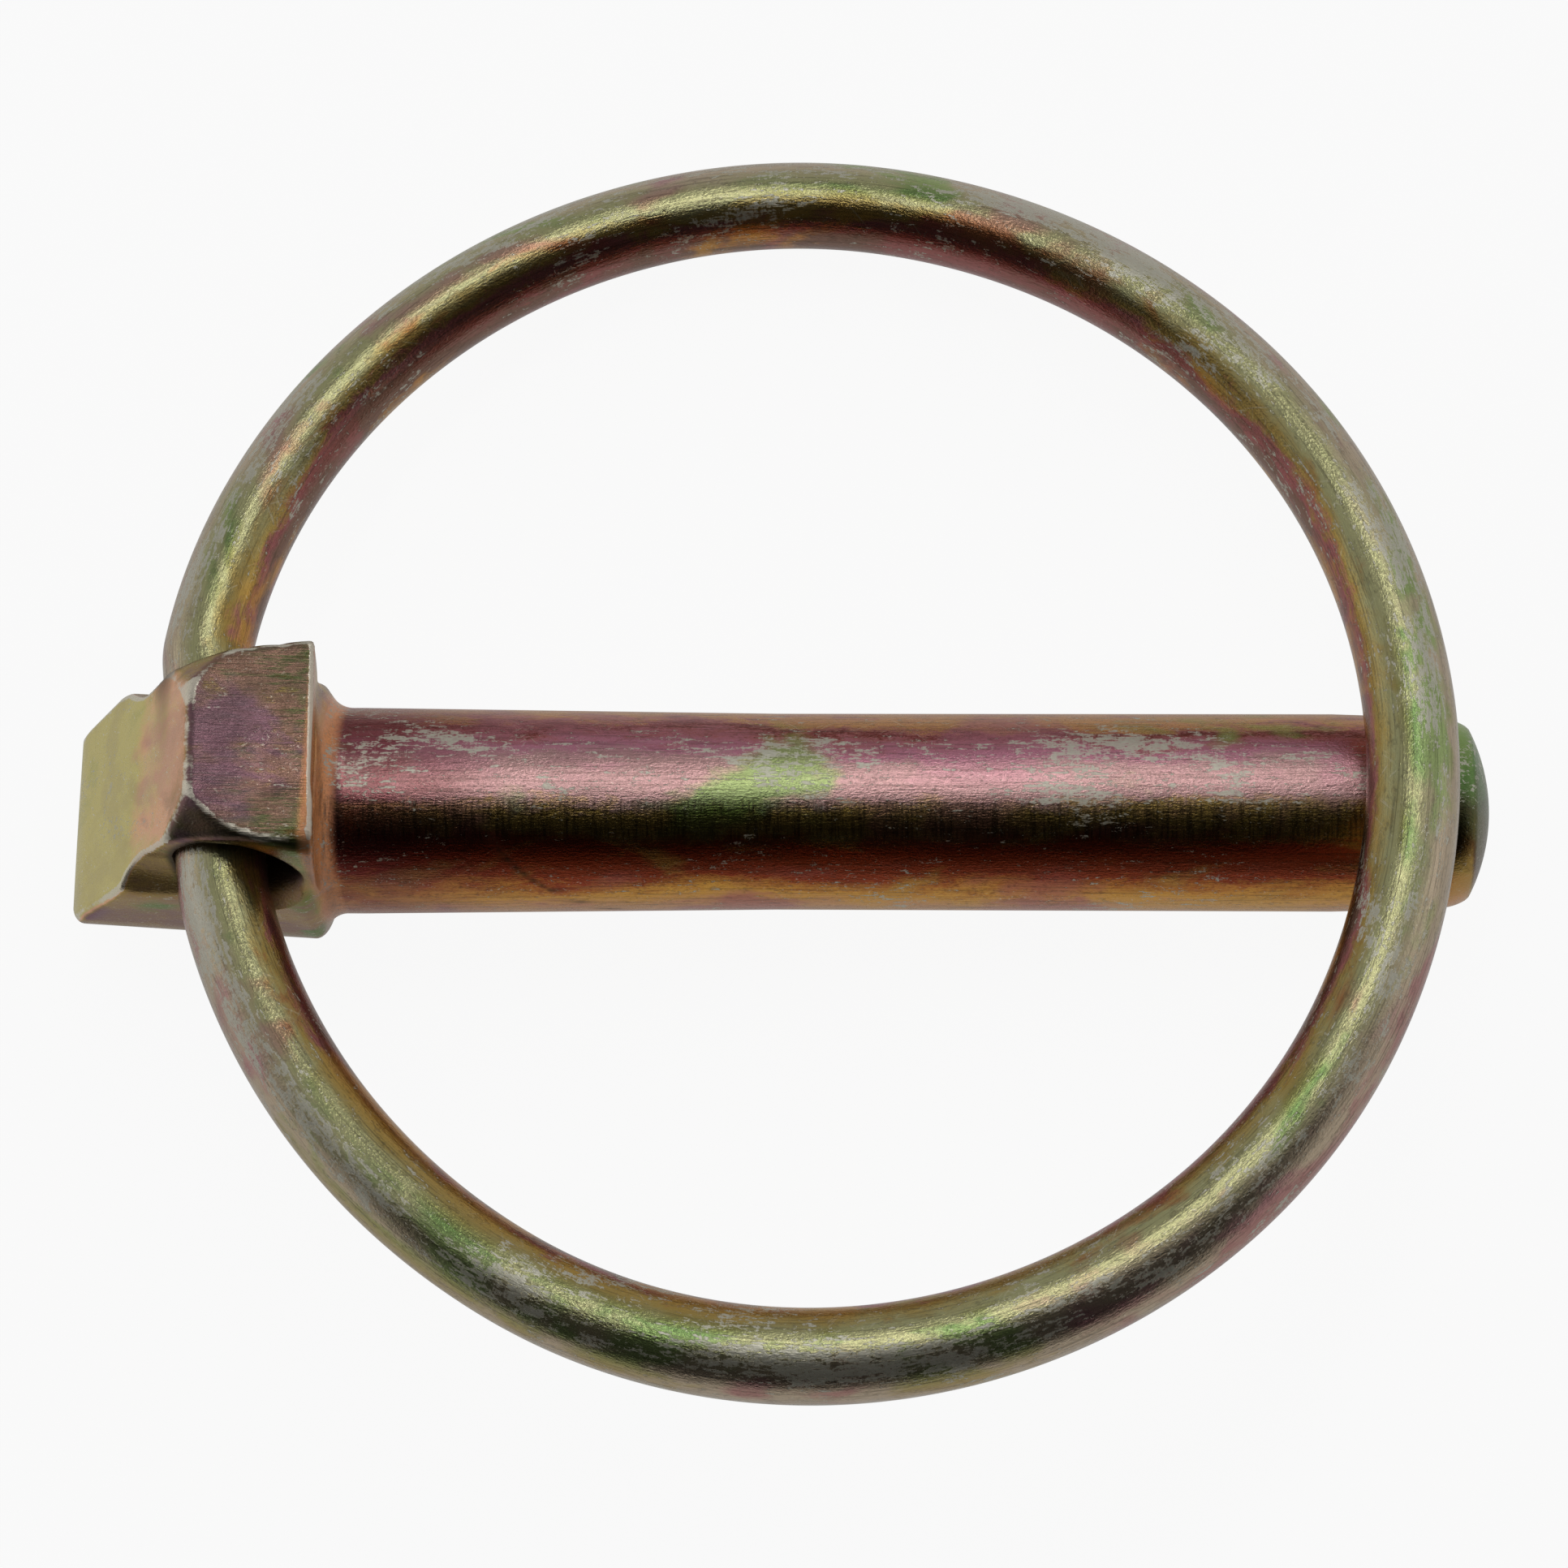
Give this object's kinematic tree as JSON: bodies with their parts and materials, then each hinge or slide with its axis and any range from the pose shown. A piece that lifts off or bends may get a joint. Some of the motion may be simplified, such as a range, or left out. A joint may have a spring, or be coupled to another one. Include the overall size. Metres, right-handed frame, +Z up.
{
  "type": "lynch pin",
  "caption": "Forged lynch pin: round shank with a bevelled head, and a sprung wire ring that swings over the shank and closes near its tip.",
  "frame": {"origin": "middle of the resting pin's footprint, on the surface it lies on", "axes": "+X along the shank towards its tip, +Y across it towards the raised side of the ring, +Z up"},
  "size_m": [0.0582, 0.0516, 0.0177],
  "materials": {
    "plated_steel": "yellow zinc plating, forged and worn",
    "plated_wire": "yellow zinc plating on drawn spring wire, worn"
  },
  "bodies": {
    "pin": {"pin": "plated_steel"},
    "ring": {"ring": "plated_wire"}
  },
  "joints": [
    {"name": "ring_swing", "type": "hinge", "parent": "pin", "child": "ring", "pos_m": [-0.02175, -0.00115, 0.00872], "axis": [0.1569, -0.9472, 0.2796], "range_deg": [0, 345]}
  ]
}
